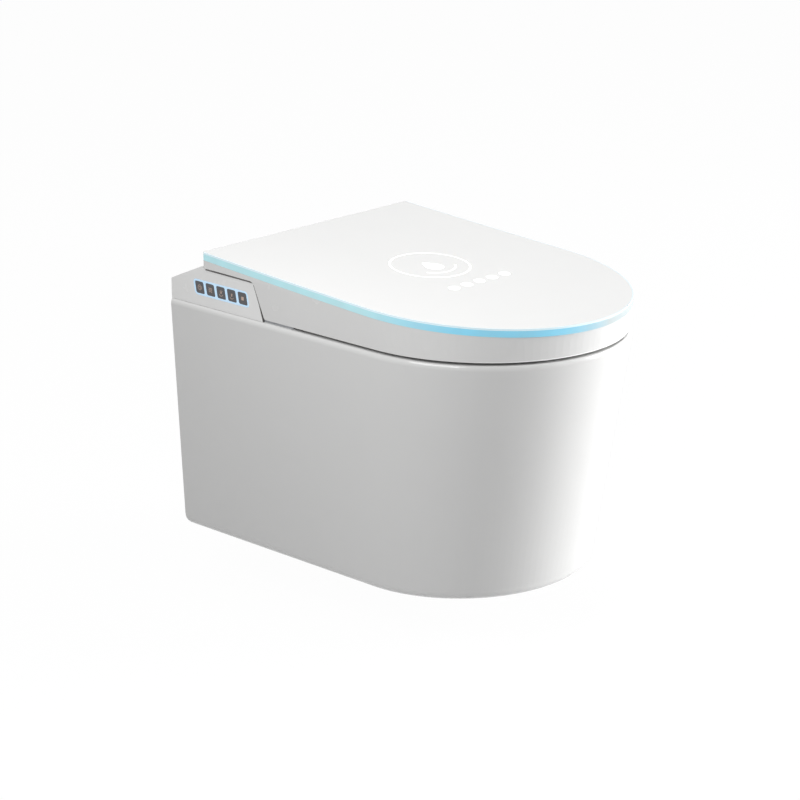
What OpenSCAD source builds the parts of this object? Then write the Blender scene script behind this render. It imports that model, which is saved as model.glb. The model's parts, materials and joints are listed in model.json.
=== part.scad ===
// Wall-hung smart toilet: ceramic pan, heated seat, lit lid and washing unit.
// The origin lies on the wall, midway between the two fixing studs. Front is -Y, up is +Z.
// A size that ends in y, back, front or straight is a distance from the wall.

/* [Pan] */
// Half width of the pan at its rim
pan_half = 195; // [190:1:205]
// Half width of the pan at its foot
foot_half = 178; // [168:1:186]
// Distance from the wall to the front of the rim
pan_front = 586; // [576:1:620]
// Distance from the wall to the front of the foot
foot_front = 527; // [500:1:560]
// Distance from the wall where the round front of the rim begins
pan_straight = 381; // [350:1:390]
// Height of the rim above the fixing studs
rim_z = 80; // [78:1:82]
// Depth of the foot below the fixing studs
foot_z = 249; // [235:1:270]
// Thickness of the fired china
china_wall = 9; // [8:0.5:11]
// Rounding of the upper edge of the pan
rim_round = 4; // [3:0.5:8]
// Rounding of the foot
foot_round = 10; // [9:1:18]

/* [Bowl] */
// Half width of the bowl at the rim
bowl_half = 135; // [120:1:145]
// Distance from the wall to the back of the bowl
bowl_back = 194; // [191:1:205]
// Distance from the wall to the front of the bowl
bowl_front = 556; // [530:1:560]
// Half width of the sump
sump_half = 42; // [36:1:50]
// Distance from the wall to the front of the sump
sump_front = 305; // [290:1:330]
// Depth of the sump floor below the fixing studs
sump_z = 200; // [195:1:212]

/* [Trap and wall connections] */
// Bore radius of the trap
trap_r = 27.5; // [24:0.5:30]
// Height of the trap's crest above its lowest run
trap_lift = 107; // [102:1:115]
// Radius of the bends of the trap
trap_bend = 45; // [43:1:48]
// Distance between the fixing studs
stud_spacing = 180; // [180:1:230]
// Radius of the hole for a fixing stud
stud_hole_r = 6.5; // [5.5:0.5:7]
// Depth of the waste outlet below the studs
outlet_z = 100; // [95:1:105]
// Outer radius of the waste spigot
outlet_r = 51; // [47:1:55]
// Height of the flush inlet above the studs
flush_z = 35; // [30:1:36]
// Bore radius of the flush inlet
flush_r = 27.5; // [25:0.5:28]

/* [Washing unit] */
// Wall thickness of the unit's cover
cover_wall = 2.5; // [2:0.1:2.8]
// Height of the cover above the rim, at the wall
cover_back_h = 28; // [26:0.5:32]
// Distance from the wall to the front edge of the cover's top
cover_top_y = 162; // [160:1:164]
// Distance from the wall to the foot of the cover's front
cover_foot_y = 177; // [175:1:179]
// Thickness of the plate under the unit
chassis_t = 3.5; // [3:0.1:3.7]

/* [Buttons] */
// Side of a square button
button_side = 16; // [13:0.5:17]
// Distance between buttons
button_pitch = 20.6; // [19.6:0.1:20.8]
// Stroke of a button
button_stroke = 1.2; // [0.8:0.1:1.6]
// Height of the middle of the buttons above the rim
button_h = 25; // [23:0.5:26]

/* [Seat] */
// Height of the seat's underside above the rim
seat_gap = 8; // [6.5:0.5:9]
// Thickness of the seat
seat_t = 18; // [15:0.5:18.5]
// Step from the pan's side in to the cover and to the lid's lower edge
rim_step = 2; // [1:0.5:2.5]
// Clearance between the seat and the pan's outer edge
seat_inset = 9; // [8.5:0.5:16]
// Half width of the opening in the seat
hole_half = 104; // [90:1:115]
// Distance from the wall to the back of the seat's opening
hole_back = 250; // [245:1:265]
// Width of the seat at its front
seat_front_w = 40; // [32:1:60]

/* [Lid] */
// Overhang of the lid's upper edge beyond the pan's front
lid_over_front = 4; // [2:0.5:8]
// Overhang of the lid's upper edge beyond the pan's side
lid_over_side = 3; // [2:0.5:5]
// Height of the lid's lower edge above the rim
lid_gap = 4; // [3.8:0.1:5]
// Height of the lit edge's top above the lid's lower edge, at the front
lid_front_h = 39.4; // [39:0.2:41]
// Rise of the lid's top from its front to the wall
lid_rise = 28; // [27:0.5:29]
// Height of the light guide
band_h = 8.5; // [7:0.5:9]
// Depth of the light guide
band_w = 6.5; // [5:0.5:7]
// Thickness of the lid's top panel
panel_t = 2.4; // [1.8:0.2:2.8]
// Wall thickness of the lid's skirt
skirt_wall = 3.5; // [2.5:0.5:4]

/* [Hinge] */
// Distance from the wall to the hinge line
hinge_y = 76; // [75.5:0.1:76.5]
// Height of the hinge line above the rim
hinge_h = 63.5; // [63.2:0.1:63.8]
// Radius of the hinge pins
pin_r = 4; // [3:0.5:4.5]
// Outer radius of the hinge knuckles
knuckle_r = 8; // [7.6:0.1:8.2]
// Middle of the hinge posts, from the centre line
post_x = 110; // [109:1:112]
// Width of a hinge post's eye
post_w = 30; // [28:1:31]
// Width of a seat arm
arm_w = 24; // [20:1:25]

/* [Nozzles] */
// Radius of a nozzle
nozzle_r = 5; // [4.5:0.1:5.2]
// Length of a nozzle
nozzle_l = 130; // [127:1:131]
// Slope of the nozzles, degrees
nozzle_tilt = 12; // [11.5:0.5:12]
// Distance between the nozzles
nozzle_pitch = 18; // [17:0.5:20]
// Module of the racks and pinions
tooth_module = 0.8; // [0.75:0.01:0.82]
// Teeth of a pinion
pinion_teeth = 14; // [14:1:15]

/* [Dryer and deodoriser] */
// Radius of the dryer's impeller
fan_r = 24; // [20:0.5:24.5]
// Height of the dryer's impeller
fan_h = 17; // [13:0.5:18]
// Blades of the dryer's impeller
fan_blades = 26; // [16:1:32]
// Radius of the deodoriser's impeller
filter_fan_r = 21; // [17:0.5:22]
// Width of the dryer's outlet
outlet_w = 28; // [22:1:30]

/* [Hidden] */
$fn = 64;
past = 1; // How far a cut runs past a face
seam = 0.3; // Gap between neighbouring pieces that don't run in each other
running = 0.08; // Radial clearance of a turning or sliding fit

// Pan
outline_steps = 60;
bowl_steps = 40;
round_steps = 4;
foot_straight = pan_straight - 25;
bowl_edge_round = 5;
sump_back = bowl_back + 8;
egg = 0.07;
trap_start_y = 190;
trap_sides = 16;
low_run_z = trap_r - sump_z;
crest_z = low_run_z + trap_lift;
crest_y = trap_start_y - 2 * trap_bend;
fall_angle = acos(1 - (crest_z + outlet_z) / (2 * trap_bend));
spigot_l = 48;
spigot_free = 28.5; // Length of the spigot that takes the connector
spigot_step = 3;
spigot_wall = 8;
spigot_room = 15;
trap_side_wall = 6;
flush_depth = 45;
duct_r = flush_r - 5.5;
boss_l = 70;
boss_bore = 12;
sleeve_flange = 4;
pocket_in = 62;
pocket_out = pan_half - 19;
pocket_back = 20;
pocket_front = 146;
pocket_depth = 40;
plug_x = 105;
plug_y = 166;
plug_r = 7;

// Washing unit
plate_z = rim_z + chassis_t;
cover_half = pan_half - rim_step;
chassis_half = cover_half - cover_wall - 1;
hinge_z = rim_z + hinge_h;
deck_z = hinge_z - 11.4;
ridge_y = 61;
ridge_z = hinge_z - 8.5;
cover_back_z = rim_z + cover_back_h;
cover_front_z = deck_z - 1.1;
plate_front_y = 229;
slope = (ridge_z - cover_back_z) / ridge_y;
cover_lean = atan((cover_foot_y - cover_top_y) / (cover_front_z - plate_z));
cover_round = 6; // Rounding between the cover's top and its front
cover_round_y = cover_top_y - cover_round * tan((90 - cover_lean) / 2);
cover_round_z = cover_front_z - cover_round;

// Hinge
eye_in = post_x - post_w / 2;
eye_out = post_x + post_w / 2;
column_w = 24;
column_t = 12;
arm_x = eye_out + 1;
arm_out = arm_x + arm_w;
bush_r = knuckle_r - 1.6;
boss_x = eye_in - 31;
notch_in = eye_in - 0.6;
notch_out = arm_out + 1;
notch_y = hinge_y + 28;
channel_z = deck_z - 15.6;

// Seat
seat_z = rim_z + seat_gap;
seat_top_z = seat_z + seat_t;
seat_half = pan_half - seat_inset;
seat_front = pan_front - seat_inset + 1;
seat_back = cover_foot_y + 9;
hole_front = seat_front - seat_front_w;
seat_mid = (hole_back + hole_front) / 2;
bumper_r = 8;
seat_sides = 56;
seat_base_t = 9.5;
seat_shell = 3.5;
seat_round = 8;
seat_web = 1.5;

// Lid
lid_foot_z = rim_z + lid_gap;
lid_half = pan_half + lid_over_side;
lid_front = pan_front + lid_over_front;
lid_straight = pan_straight - 19;
lid_back = hinge_y - 9;
lid_corner = 5; // Rounding of the lid's rear corners, seen from above
lid_curve = 8;
flare_h = 50;
lid_under_z = hinge_z - 8.5;
lid_steps = 12;
deck_t = 2.5;
shelf_t = 3;
rail_y = hinge_y + 14;
led_t = 1.3;
inner_panel_t = 2.5;
inner_panel_drop = band_h + shelf_t + 0.2 + inner_panel_t;
display_y = lid_front - 252;
display_half = 60;
display_l = 136;
display_room = 2;
lid_bumper_r = 6;
lid_play = 2.4; // Gap between the lid's side and the cover
lid_foot_r = 3;
lid_back_r = 4;

// Nozzles, in a frame that starts at the nozzle tips and runs back along the slope
tip_y = cover_foot_y + 1;
tip_z = rim_z + 12;
guide_half = 8;
guide_back = tip_y - cos(nozzle_tilt) * (nozzle_l - 8);
rack_y = 2.4 + nozzle_r; // Pitch line of a rack, from its nozzle's axis
rack_h = 6;
pinion_r = tooth_module * pinion_teeth / 2;
tooth_tip = 0.7 * tooth_module;
tooth_root = 1.0 * tooth_module;
pinion_s = 40;
motor_r = 10;
motor_h = 13;
shaft_r = 1.5;
nozzle_room = nozzle_pitch / 2 + nozzle_r + 4; // Half width kept free in front of the nozzles
nozzle_room_z = tip_z + nozzle_r + 6;
nozzle_room_y = 232;

// Fans
fan_x = 62;
fan_y = 92;
scroll_gap = 2;
scroll_rise = 5;
scroll_wall = 2;
fan_motor_r = 14;
flap_recess = 2.9; // From the cover's front to the flap's middle
duct_recess = 5.6; // From the cover's front to the duct's end
ear_out = 3.9; // From the duct's bore to the outside of a flap's ear
ear_r = 2.6;
casing_z = plate_z + 1.5;
casing_h = fan_h + 8;
filter_fan_x = -64;
filter_fan_y = 92;
outlet_x = fan_x + fan_r + scroll_gap + scroll_rise - outlet_w;
filter_h = 20; // Height of the deodoriser's casing
filter_y = filter_fan_y + 39; // Where its filter begins
filter_l = 29;
filter_half = 17;
filter_slots = 5;

// Buttons
button_z = rim_z + button_h;
button_y = 97.5;
button_lean = 0.18;
button_border = 3;
button_corner = 2.2;
frame_len = 4 * button_pitch + button_side + 2 * button_border;
frame_h = button_side + 2 * button_border - 1;
frame_t = 3.7;
board_x = cover_half - 9;

// Control board
board_out = cover_half - 19;
board_in = post_x + 18;
board_t = 1.6;
leg_r = 3;
board_back = 26;
board_front = 150;
board_z = rim_z + 16;

function blend(a, b, t) = a + (b - a) * t;

// A ring of points on a D outline: straight sides from the wall, then half an ellipse
function d_ring(half, front, straight, back, z, corner = 0) = [
    each back_corner(half, back, z, corner, [90:-22.5:0]),
    for (i = [0:outline_steps]) let (a = 180 * i / outline_steps)
        [half * cos(a), -straight - (front - straight) * sin(a), z],
    each back_corner(-half, back, z, corner, [180:-22.5:90])
];

// The end of a D outline at the wall's side: one point, or an arc of the given radius
function back_corner(half, back, z, r, angles) = r == 0 ? [[half, -back, z]]
    : [for (a = angles) [half - sign(half) * r + r * cos(a), -back - r + r * sin(a), z]];

function pan_ring(z, inset, back) = let (t = (rim_z - z) / (rim_z + foot_z))
    d_ring(blend(pan_half, foot_half, t) - inset, blend(pan_front, foot_front, t) - inset,
           blend(pan_straight, foot_straight, t), back, z);

// An egg-shaped ring, wider at its back
function egg_ring(half, back, front, z, steps) = [
    for (i = [0:steps - 1]) let (a = 360 * i / steps)
        [half * cos(a) * (1 - egg * sin(a)), -(front + back) / 2 - (front - back) / 2 * sin(a), z]
];

// A ring of the bowl: angle 0 is the rim, angle 90 is the sump floor
function bowl_ring(a, grow) = let (top = rim_z - bowl_edge_round)
    egg_ring(blend(sump_half, bowl_half, cos(a)) + grow, blend(sump_back, bowl_back, cos(a)) - grow,
             blend(sump_front, bowl_front, cos(a)) + grow, top - (top + sump_z + grow) * sin(a),
             bowl_steps);

function rim_ring(z, grow) =
    egg_ring(bowl_half + grow, bowl_back - grow, bowl_front + grow, z, bowl_steps);

// The trap's centre line in the plane x = 0, each point with its upward or outward normal
trap_path = [
    [-trap_start_y - trap_bend, low_run_z, 0, 1],
    for (a = [-90:15:0]) [-trap_start_y + trap_bend * cos(a), low_run_z + trap_bend * (1 + sin(a)),
                          -cos(a), -sin(a)],
    for (a = [180:-15:90]) [-crest_y + trap_bend * cos(a), crest_z - trap_bend * (1 - sin(a)),
                            cos(a), sin(a)],
    for (i = [1:4]) let (a = fall_angle * i / 4)
        [-crest_y + trap_bend * sin(a), crest_z - trap_bend * (1 - cos(a)), sin(a), cos(a)],
    for (i = [3:-1:0]) let (a = fall_angle * i / 4)
        [-crest_y + trap_bend * (2 * sin(fall_angle) - sin(a)),
         -outlet_z + trap_bend * (1 - cos(a)), sin(a), cos(a)]
];

function trap_band(w) = concat(
    [for (p = trap_path) [p[0] + w * p[2], p[1] + w * p[3]]],
    [for (i = [len(trap_path) - 1:-1:0]) let (p = trap_path[i]) [p[0] - w * p[2], p[1] - w * p[3]]]
);

// Height of the lit edge's top at a distance from the wall
function lid_top(y) = let (k = 1 - y / lid_front)
    lid_foot_z + lid_front_h + lid_rise * k + lid_curve * k * k;

function lid_slope(y) = atan((lid_rise + 2 * lid_curve * (1 - y / lid_front)) / lid_front);

// The lid's top line, lowered by drop, from one distance to another
function top_line(from, to, drop) = [
    for (i = [0:lid_steps]) let (y = blend(from, to, i / lid_steps)) [y, lid_top(y) - drop]
];

function reversed(list) = [for (i = [len(list) - 1:-1:0]) list[i]];

// A closed band between two lowered copies of the lid's top line
function lid_band(from, to, high, low) =
    concat(top_line(from, to, high), reversed(top_line(from, to, low)));

// Distance from the seat's middle to its outline, in the direction a (90 is the front)
function seat_reach(a, inset) =
    let (c = cos(a), s = sin(a), w = seat_half - inset, b = seat_front - inset - pan_straight,
         e = seat_mid - pan_straight, side = w / max(abs(c), 0.001),
         qa = c * c / (w * w) + s * s / (b * b), qb = 2 * e * s / (b * b), qc = e * e / (b * b) - 1,
         round = (-qb + sqrt(qb * qb - 4 * qa * qc)) / (2 * qa))
    seat_mid + side * s > pan_straight && s > 0 ? round
        : min(side, (seat_mid - seat_back - inset) / max(-s, 0.001));

function hole_reach(a, grow) =
    let (c = cos(a), s = sin(a), w = hole_half + grow, b = (hole_front - hole_back) / 2 + grow)
    1 / sqrt(c * c / (w * w) + s * s / (b * b));

// One upright section of the seat ring. A section point is [side, distance from that edge, height].
function seat_section(a, section) = [
    for (p = section)
        let (r = p[0] == 0 ? seat_reach(a, p[1]) : hole_reach(a, p[1]))
        [r * cos(a), -seat_mid - r * sin(a), p[2]]
];

function arc_points(r, from, to, steps) =
    [for (i = [0:steps]) let (a = blend(from, to, i / steps)) [r * cos(a), r * sin(a)]];

// Involute of a gear flank: the angle it has turned through at radius r, degrees
function involute(base, r) = let (t = sqrt(max(0, r * r / (base * base) - 1)))
    t * 180 / PI - atan(t);

// Half of a gear tooth's angular width at radius r, degrees
function tooth_half(r, base, play) =
    (90 / pinion_teeth) - play + involute(base, pinion_r) - involute(base, max(r, base));

// A tube's ring round a point of a path, square to the path there
function path_ring(path, i, r, sides) =
    let (a = path[max(i - 1, 0)], b = path[min(i + 1, len(path) - 1)], d = (b - a) / norm(b - a),
         ref = abs(d[2]) > 0.9 ? [1, 0, 0] : [0, 0, 1], u = cross(ref, d) / norm(cross(ref, d)),
         v = cross(d, u))
    [for (k = [0:sides - 1]) let (t = -360 * k / sides) path[i] + r * (cos(t) * u + sin(t) * v)];

// Joins rings of points, given from the bottom up and clockwise from above, into a solid
module loft(rings) {
    n = len(rings[0]);
    m = len(rings);
    polyhedron(
        points = [for (r = rings) each r],
        faces = concat(
            [[for (i = [n - 1:-1:0]) i]],
            [for (j = [0:m - 2]) for (i = [0:n - 1]) let (k = (i + 1) % n)
                each [[j * n + i, j * n + k, (j + 1) * n + k],
                      [j * n + i, (j + 1) * n + k, (j + 1) * n + i]]],
            [[for (i = [0:n - 1]) (m - 1) * n + i]]
        )
    );
}

// Joins closed sections that follow each other round a ring
module ring_loft(sections) {
    n = len(sections[0]);
    m = len(sections);
    polyhedron(
        points = [for (s = sections) each s],
        faces = [for (j = [0:m - 1]) for (i = [0:n - 1]) let (k = (i + 1) % n, q = (j + 1) % m)
            each [[j * n + i, q * n + k, j * n + k], [j * n + i, q * n + i, q * n + k]]]
    );
}

module tube_path(path, r) {
    loft([for (i = [0:len(path) - 1]) path_ring(path, i, r, 10)]);
}

// Extrudes an outline of distances from the wall and heights from x0 to x1
module across(x0, x1, outline) {
    translate([x0, 0, 0])
        rotate([90, 0, 90])
            linear_extrude(x1 - x0)
                polygon([for (p = outline) [-p[0], p[1]]]);
}

module block(x0, x1, y0, y1, z0, z1) {
    translate([x0, -y1, z0])
        cube([x1 - x0, y1 - y0, z1 - z0]);
}

module bar_x(x0, x1, y, z, r) {
    translate([x0, -y, z])
        rotate([0, 90, 0])
            cylinder(h = x1 - x0, r = r);
}

module bar_y(x, y0, y1, z, r) {
    translate([x, -y0, z])
        rotate([90, 0, 0])
            cylinder(h = y1 - y0, r = r);
}

module bar_z(x, y, z0, z1, r) {
    translate([x, -y, z0])
        cylinder(h = z1 - z0, r = r);
}

module both_sides() {
    children();
    mirror([1, 0, 0])
        children();
}

// An upright prism on the lid's upper outline, drawn in by inset
module lid_prism(inset) {
    translate([0, 0, rim_z])
        linear_extrude(100)
            polygon([for (p = d_ring(lid_half - inset, lid_front - inset, lid_straight, lid_back, 0,
                                     inset == 0 ? lid_corner : 0))
                [p[0], p[1]]]);
}

// An upright prism inside the lid's skirt
module skirt_prism(inset) {
    translate([0, 0, rim_z - past])
        linear_extrude(100)
            polygon([for (p = d_ring(pan_half - rim_step - inset, pan_front - rim_step - inset,
                                     pan_straight, rail_y, 0))
                [p[0], p[1]]]);
}

// Moves pieces from the nozzles' own frame, where +X runs back along the slope, into the part
module along_nozzles(x) {
    translate([x, -tip_y, tip_z])
        rotate([nozzle_tilt, 0, 0])
            children();
}

// ceramic pan

module pan_shell() {
    difference() {
        loft([
            for (i = [0:round_steps]) let (a = 90 * i / round_steps)
                pan_ring(-foot_z + foot_round * (1 - cos(a)), foot_round * (1 - sin(a)), 0),
            for (i = [0:round_steps]) let (a = 90 * i / round_steps)
                pan_ring(rim_z - rim_round * (1 - sin(a)), rim_round * (1 - cos(a)), 0)
        ]);
        loft([
            pan_ring(-foot_z + china_wall, china_wall, china_wall),
            pan_ring(rim_z - china_wall, china_wall, china_wall)
        ]);
        bar_y(0, -past, china_wall + past, -outlet_z, outlet_r + spigot_room);
    }
}

module bowl_cavity() {
    loft([
        for (a = [90:-10:0]) bowl_ring(a, 0),
        for (i = [1:3]) rim_ring(rim_z - bowl_edge_round * (1 - sin(30 * i)),
                                 bowl_edge_round * (1 - cos(30 * i))),
        rim_ring(rim_z + past, bowl_edge_round)
    ]);
}

module trap_bore() {
    loft([for (p = trap_path) [for (k = [0:trap_sides - 1]) let (t = 360 * k / trap_sides)
        [trap_r * cos(t), p[0] + trap_r * sin(t) * p[2], p[1] + trap_r * sin(t) * p[3]]]]);
}

module pocket(grow, top) {
    block(pocket_in - grow, pocket_out + grow, pocket_back - grow, pocket_front + grow,
          rim_z - pocket_depth - grow, top);
}

module ceramic_pan() {
    color("whitesmoke")
        difference() {
            union() {
                pan_shell();
                loft([for (a = [90:-10:0]) bowl_ring(a, china_wall)]);
                translate([-trap_r - trap_side_wall, 0, 0])
                    rotate([90, 0, 90])
                        linear_extrude(2 * (trap_r + trap_side_wall))
                            polygon(trap_band(trap_r + china_wall + 1));
                bar_y(0, 0, spigot_l, -outlet_z, outlet_r);
                bar_y(0, spigot_free, spigot_l, -outlet_z, outlet_r + spigot_step);
                bar_y(0, 0, flush_depth + china_wall, flush_z, flush_r + china_wall);
                bar_y(0, flush_depth, bowl_back - 2, flush_z, duct_r + china_wall);
                both_sides() {
                    bar_y(stud_spacing / 2, 0, boss_l, 0, boss_bore + china_wall);
                    pocket(china_wall, rim_z - china_wall / 2);
                }
            }
            bowl_cavity();
            trap_bore();
            bar_y(0, -past, spigot_l - china_wall, -outlet_z, outlet_r - spigot_wall);
            bar_y(0, -past, flush_depth, flush_z, flush_r);
            bar_y(0, flush_depth - past, bowl_back + 9, flush_z, duct_r);
            both_sides() {
                bar_y(stud_spacing / 2, -past, boss_l + past, 0, boss_bore);
                pocket(0, rim_z + past);
                bar_z(plug_x, plug_y, rim_z - china_wall - past, rim_z + past, plug_r);
            }
        }
}

module fixing_sleeves() {
    color("dimgray")
        both_sides()
            difference() {
                union() {
                    bar_y(stud_spacing / 2, 0, boss_l + sleeve_flange / 2, 0, boss_bore - 0.1);
                    bar_y(stud_spacing / 2, boss_l, boss_l + sleeve_flange, 0, boss_bore + 5);
                }
                bar_y(stud_spacing / 2, -past, boss_l + sleeve_flange + past, 0, stud_hole_r);
            }
}

// chassis plate and its fixings

module chassis() {
    color("gainsboro")
        difference() {
            block(-chassis_half, chassis_half, cover_wall + 1.5, plate_front_y, rim_z, plate_z);
            translate([0, 0, rim_z - past])
                linear_extrude(chassis_t + 2 * past)
                    polygon([for (p = rim_ring(0, bowl_edge_round + 4)) [p[0], p[1]]]);
            block(-60, 60, cover_foot_y + 4, plate_front_y + past, rim_z - past, plate_z + past);
            block(pocket_in + 3, nipple_x - 15, pocket_back + 3, pocket_front - 3,
                  rim_z - past, plate_z + past);
            block(-board_in + 6, -pocket_in - 3, pocket_back + 3, pocket_front - 3,
                  rim_z - past, plate_z + past);
            both_sides()
                bar_z(plug_x, plug_y, rim_z - past, plate_z + past, 4.5);
        }
}

module chassis_bolts() {
    color("silver")
        both_sides() {
            bar_z(plug_x, plug_y, rim_z - 20, plate_z + 0.5, 4);
            difference() {
                bar_z(plug_x, plug_y, plate_z, plate_z + 4.5, 6.2);
                translate([plug_x, -plug_y, plate_z + 2])
                    cylinder(h = 3, r = 3.4, $fn = 6);
            }
        }
}

module chassis_plugs() {
    color("black")
        both_sides()
            difference() {
                union() {
                    bar_z(plug_x, plug_y, rim_z - 16, rim_z, plug_r - 0.2);
                    bar_z(plug_x, plug_y, rim_z - 16, rim_z - china_wall - seam, plug_r + 2);
                }
                bar_z(plug_x, plug_y, rim_z - 17, rim_z + past, 4.1);
            }
}

// cover of the washing unit

function cover_corner(r) = [for (p = arc_points(r, 90, cover_lean, 6))
    [cover_round_y + p[0], cover_round_z + p[1]]];

module housing_cover() {
    w = cover_wall;
    inner_deck = deck_z - w;
    rise = slope * w - w / cos(atan(slope));
    color("whitesmoke")
        difference() {
            across(-cover_half, cover_half, concat(
                [[0, rim_z + seam], [0, cover_back_z - 4]],
                [for (p = arc_points(4, 165, 105, 3)) [4 + p[0], cover_back_z + 4 * slope - 4 + p[1]]],
                [[ridge_y - 1, ridge_z - slope], [ridge_y + 0.3, ridge_z - 0.1],
                 [hinge_y - 12.4, deck_z]],
                cover_corner(cover_round),
                [[cover_foot_y, plate_z], [cover_foot_y, rim_z + seam]]
            ));
            difference() {
                across(-cover_half + w, cover_half - w, concat(
                    [[w, rim_z - past], [w, cover_back_z + rise],
                     [(inner_deck - cover_back_z - rise) / slope + w, inner_deck]],
                    cover_corner(cover_round - w),
                    [[cover_foot_y - w, plate_z], [cover_foot_y + past, plate_z + seam],
                     [cover_foot_y + past, rim_z - past]]
                ));
                both_sides()
                    block(arm_x - 0.9 - w, arm_out + 0.9 + w, hinge_y - 12 - w, cover_foot_y + past,
                          channel_z - w, deck_z + past);
            }
            both_sides() {
                block(arm_x - 0.9, arm_out + 0.9, hinge_y - 12, cover_foot_y + past,
                      channel_z, ridge_z + past);
                block(post_x - column_w / 2 - 1 - 1, post_x + column_w / 2 - 1,
                      hinge_y - column_t / 2 - 0.8, hinge_y + column_t / 2 + 0.8,
                      deck_z - w - past, ridge_z + past);
            }
            block(-nozzle_room, nozzle_room, cover_top_y, cover_foot_y + past, plate_z - past,
                  nozzle_room_z);
            block(outlet_x - ear_out - 0.4, outlet_x + outlet_w + ear_out + 0.4, cover_top_y,
                  cover_foot_y + past, casing_z + 0.5, casing_z + casing_h);
            across(-cover_half - past, -cover_half + w + past, button_outline(frame_len + seam,
                   frame_h + seam, 0, button_corner + button_border));
            bar_y(nipple_x, -past, w + past, nipple_z, nipple_r + 1);
            bar_y(gland_x, -past, w + past, nipple_z, gland_r + 0.1);
        }
}

// buttons on the left side

function button_outline(len, height, shift, r) = [
    for (k = [0:3]) let (cu = [1, -1, -1, 1][k], cv = [1, 1, -1, -1][k])
        for (a = [90 * k:22.5:90 * k + 90])
            let (u = cu * (len / 2 - r) + r * cos(a), v = cv * (height / 2 - r) + r * sin(a))
                [button_y + shift + u - v * button_lean, button_z + v]
];

module button_frame() {
    color("deepskyblue")
        difference() {
            across(-cover_half - 0.2, -cover_half + frame_t,
                   button_outline(frame_len, frame_h, 0, button_corner + button_border));
            for (i = [-2:2])
                across(-cover_half - past, -cover_half + frame_t + past,
                       button_outline(button_side + 0.4, button_side + 0.4, i * button_pitch,
                                      button_corner + 0.2));
        }
}

module button_cap(i) {
    color("gray") {
        across(-cover_half, -cover_half + 4.5,
               button_outline(button_side, button_side, i * button_pitch, button_corner));
        bar_x(-cover_half + 4, -board_x - 1.6 - button_stroke, button_y + i * button_pitch,
              button_z, 2.5);
    }
}

module button_board() {
    color("darkgreen") {
        block(-board_x, -board_x + 1.6, button_y - frame_len / 2 - 1, button_y + frame_len / 2 + 1,
              plate_z, button_z + frame_h / 2);
        for (i = [-2:2])
            block(-board_x - 1.5, -board_x + 0.5, button_y + i * button_pitch - 3,
                  button_y + i * button_pitch + 3, button_z - 3, button_z + 3);
    }
}

// seat

module seat_top() {
    zb = seat_z + seat_base_t;
    t = seat_shell;
    edge = [for (p = arc_points(seat_round, 180, 90, 3))
        [seat_round + p[0], seat_top_z - seat_round + p[1]]];
    section = concat(
        [[0, 0, zb]],
        [for (p = edge) [0, p[0], p[1]]],
        [for (i = [3:-1:0]) [1, edge[i][0], edge[i][1]]],
        [[1, 0, zb], [1, t, zb], [1, seat_round, seat_top_z - t], [0, seat_round, seat_top_z - t],
         [0, t, zb]]
    );
    color("white")
        union() {
            ring_loft([for (j = [0:seat_sides - 1]) seat_section(360 * j / seat_sides, section)]);
            // The web over the room for the nozzles hides the heating film from below
            block(-nozzle_room - 1, nozzle_room + 1, seat_back + 1, nozzle_room_y + 3, zb, zb + seat_web);
        }
}

module seat_arm() {
    across(arm_x, arm_out, [
        [seat_back + 16, seat_z], [seat_back + 16, seat_z + seat_base_t - 0.1],
        [seat_back - 0.6, seat_z + seat_base_t - 0.1], [seat_back - 0.6, deck_z - 20],
        [seat_back - 6, deck_z - 2.1], [hinge_y + 22, deck_z - 2.1], [hinge_y + 7, hinge_z + 2],
        [hinge_y, hinge_z], [hinge_y - 3, hinge_z - 6.5], [hinge_y, channel_z + 7],
        [hinge_y + 5, channel_z + 0.8], [cover_foot_y - 7, channel_z + 0.8],
        [cover_foot_y + 3, seat_z]
    ]);
    bar_x(arm_x, arm_out, hinge_y, hinge_z, knuckle_r);
}

module seat_base() {
    zt = seat_z + seat_base_t;
    section = [
        [0, 0, zt], [1, 0, zt], [1, 0, seat_z + 2.5], [1, 2.5, seat_z],
        [0, 2.5, seat_z], [0, 0, seat_z + 2.5]
    ];
    color("white")
        difference() {
            union() {
                ring_loft([for (j = [0:seat_sides - 1])
                    seat_section(360 * j / seat_sides, section)]);
                both_sides()
                    seat_arm();
            }
            both_sides()
                bar_x(arm_x - past, arm_out + past, hinge_y, hinge_z, bush_r);
            block(-nozzle_room, nozzle_room, seat_back - past, nozzle_room_y, seat_z - past,
                  zt + past);
        }
}

module seat_heater() {
    zt = seat_top_z - seat_shell - 0.2;
    grow = seat_round + 3;
    section = [[0, grow, zt], [1, grow, zt], [1, grow, zt - 1], [0, grow, zt - 1]];
    color("orange")
        ring_loft([for (j = [0:seat_sides - 1]) seat_section(360 * j / seat_sides, section)]);
}

module seat_bumpers() {
    color("lightgray")
        for (p = [[0.38 * seat_half, seat_front - 27], [seat_half - 24, hole_back + 12]])
            both_sides()
                bar_z(p[0], p[1], rim_z + seam, seat_z, bumper_r);
}

// lid

module lid_shell() {
    loft([
        d_ring(pan_half - rim_step, pan_front - rim_step, pan_straight, lid_back, lid_foot_z - past,
               lid_corner),
        d_ring(lid_half, lid_front, lid_straight, lid_back, lid_foot_z + flare_h, lid_corner),
        d_ring(lid_half, lid_front, lid_straight, lid_back, lid_foot_z + 90, lid_corner)
    ]);
}

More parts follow.
